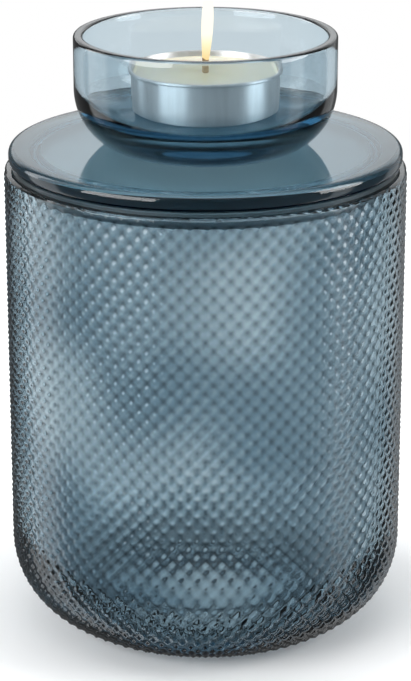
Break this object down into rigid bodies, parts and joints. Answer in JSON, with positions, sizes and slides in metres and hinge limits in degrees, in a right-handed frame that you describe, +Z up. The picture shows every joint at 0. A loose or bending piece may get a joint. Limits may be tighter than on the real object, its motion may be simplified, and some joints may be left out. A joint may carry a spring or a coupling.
{
  "type": "tealight jar",
  "caption": "Straight round-heeled blue glass storage jar with a fine diamond relief, closed by a flat glass lid that carries a small glass bowl holding a tealight.",
  "frame": {"origin": "on the table under the middle of the jar", "axes": "+Z up along the jar's axis of revolution; +X and +Y are any two directions square to it, with -Y facing the viewer of the picture"},
  "size_m": [0.102, 0.102, 0.155],
  "materials": {
    "jar_glass": "pressed blue glass with a fine raised diamond relief",
    "lid_glass": "polished blue glass",
    "silicone": "translucent grey silicone",
    "adhesive": "clear cured adhesive",
    "bowl_glass": "polished clear blue glass",
    "aluminium_cup": "bright pressed sheet",
    "wax": "soft white wax",
    "cotton_wick": "braided cotton, charred at the tip",
    "tinned_steel": "tinned sheet"
  },
  "bodies": {
    "jar": {"jar": "jar_glass"},
    "lid": {"lid_plate": "lid_glass", "lid_gasket": "silicone", "bond_film": "adhesive", "tealight_bowl": "bowl_glass"},
    "tealight": {"candle_cup": "aluminium_cup", "candle_wax": "wax", "wick": "cotton_wick", "wick_sustainer": "tinned_steel"}
  },
  "joints": [
    {"name": "lid_lift", "type": "slide", "parent": "jar", "child": "lid", "axis": [0, 0, 1], "range_m": [0, 0.1]},
    {"name": "tealight_lift", "type": "slide", "parent": "lid", "child": "tealight", "axis": [0, 0, 1], "range_m": [0, 0.04]}
  ]
}
